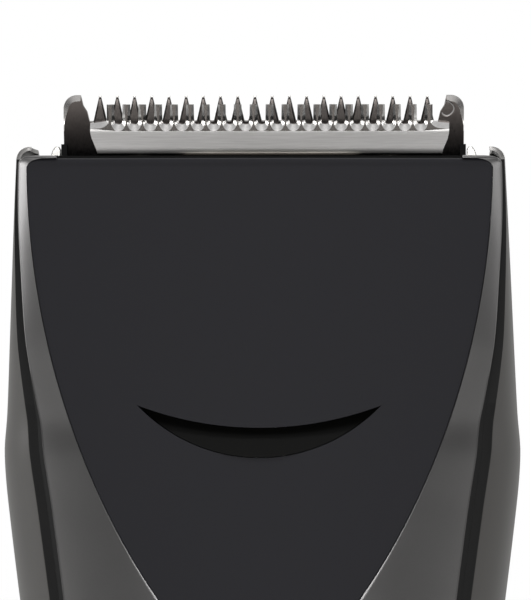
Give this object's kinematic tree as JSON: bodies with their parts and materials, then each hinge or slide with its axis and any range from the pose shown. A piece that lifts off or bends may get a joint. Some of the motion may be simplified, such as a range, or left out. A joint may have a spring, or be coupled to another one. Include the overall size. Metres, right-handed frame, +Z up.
{
  "type": "hair clipper",
  "caption": "Cordless hair clipper with a toothed steel cutting head, shield-shaped front panel, comb grooves down the sides, slide switch and charging socket.",
  "frame": {"origin": "centre of the flat rubber foot's underside", "axes": "+Z up the body to the blades, -Y out of the front panel, X across the width"},
  "size_m": [0.053, 0.0349, 0.1764],
  "materials": {
    "front_shell": "satin metallic lacquer on moulded plastic",
    "rear_shell": "satin metallic lacquer on moulded plastic",
    "front_panel": "fine satin",
    "crescent": "glossy",
    "rail": "fine satin",
    "grip": "soft touch",
    "base_cap": "fine satin",
    "foot": "matt",
    "socket": "moulded",
    "contact": "plated",
    "screw": "zinc plated",
    "light_pipe": "clear moulded",
    "board": "solder mask",
    "chips": "moulded",
    "switch": "moulded",
    "cell": "shrink sleeve",
    "strap": "nickel",
    "cradle": "moulded",
    "motor_steel": "zinc plated",
    "magnet": "sintered",
    "copper": "bare",
    "winding": "enamelled wire",
    "lead": "insulation",
    "cam": "machined",
    "acetal": "moulded",
    "bush": "sintered",
    "slider": "satin",
    "head": "satin",
    "comb_steel": "dark ground",
    "cutter_steel": "ground",
    "spring_steel": "bright"
  },
  "bodies": {
    "housing": {"front_shell": "front_shell", "rear_shell": "rear_shell", "front_panel": "front_panel", "crescent_insert": "crescent", "comb_rail_left": "rail", "comb_rail_right": "rail", "grip_left": "grip", "grip_right": "grip", "base_cap": "base_cap", "base_foot": "foot", "charge_socket": "socket", "socket_contacts": "contact", "case_screws": "screw", "motor_screws": "screw", "light_pipe": "light_pipe", "circuit_board": "board", "board_components": "chips", "switch_body": "switch", "battery_cells": "cell", "battery_straps": "strap", "battery_cradle": "cradle", "seat_plate": "cradle", "drive_frame": "cradle", "motor_end_cap": "cradle", "motor_can": "motor_steel", "lever_pin": "motor_steel", "hinge_pin": "motor_steel", "motor_magnets": "magnet", "motor_terminals": "copper", "motor_leads": "lead"},
    "rotor": {"motor_shaft": "motor_steel", "motor_armature": "winding", "commutator": "copper", "eccentric_cam": "cam"},
    "lever": {"drive_lever": "acetal", "lever_bush": "bush"},
    "slider": {"power_slider": "slider", "switch_knob": "switch"},
    "head": {"head_frame": "head", "fixed_comb": "comb_steel", "comb_screws": "screw", "pressure_spring": "spring_steel", "spring_tabs": "spring_steel"},
    "cutter": {"moving_cutter": "cutter_steel", "cutter_carrier": "acetal"}
  },
  "joints": [
    {"name": "head_tilt", "type": "hinge", "parent": "housing", "child": "head", "pos_m": [0, 0.0097, 0.1603], "axis": [-1, 0, 0], "range_deg": [0, 40]},
    {"name": "cutter_slide", "type": "slide", "parent": "head", "child": "cutter", "axis": [1, 0, 0], "range_m": [-0.0017, 0.00044]},
    {"name": "lever_rock", "type": "hinge", "parent": "housing", "child": "lever", "pos_m": [0, 0, 0.134], "axis": [0, 1, 0], "range_deg": [-3.4, 1]},
    {"name": "rotor_spin", "type": "hinge", "parent": "housing", "child": "rotor", "pos_m": [0, 0.003, 0], "axis": [0, 0, 1], "continuous": true},
    {"name": "power_slide", "type": "slide", "parent": "housing", "child": "slider", "axis": [0, 0, 1], "range_m": [0, 0.004]}
  ],
  "couplings": [
    {"joint": "lever_rock", "follows": "cutter_slide", "rad_per_m": 33.333}
  ]
}
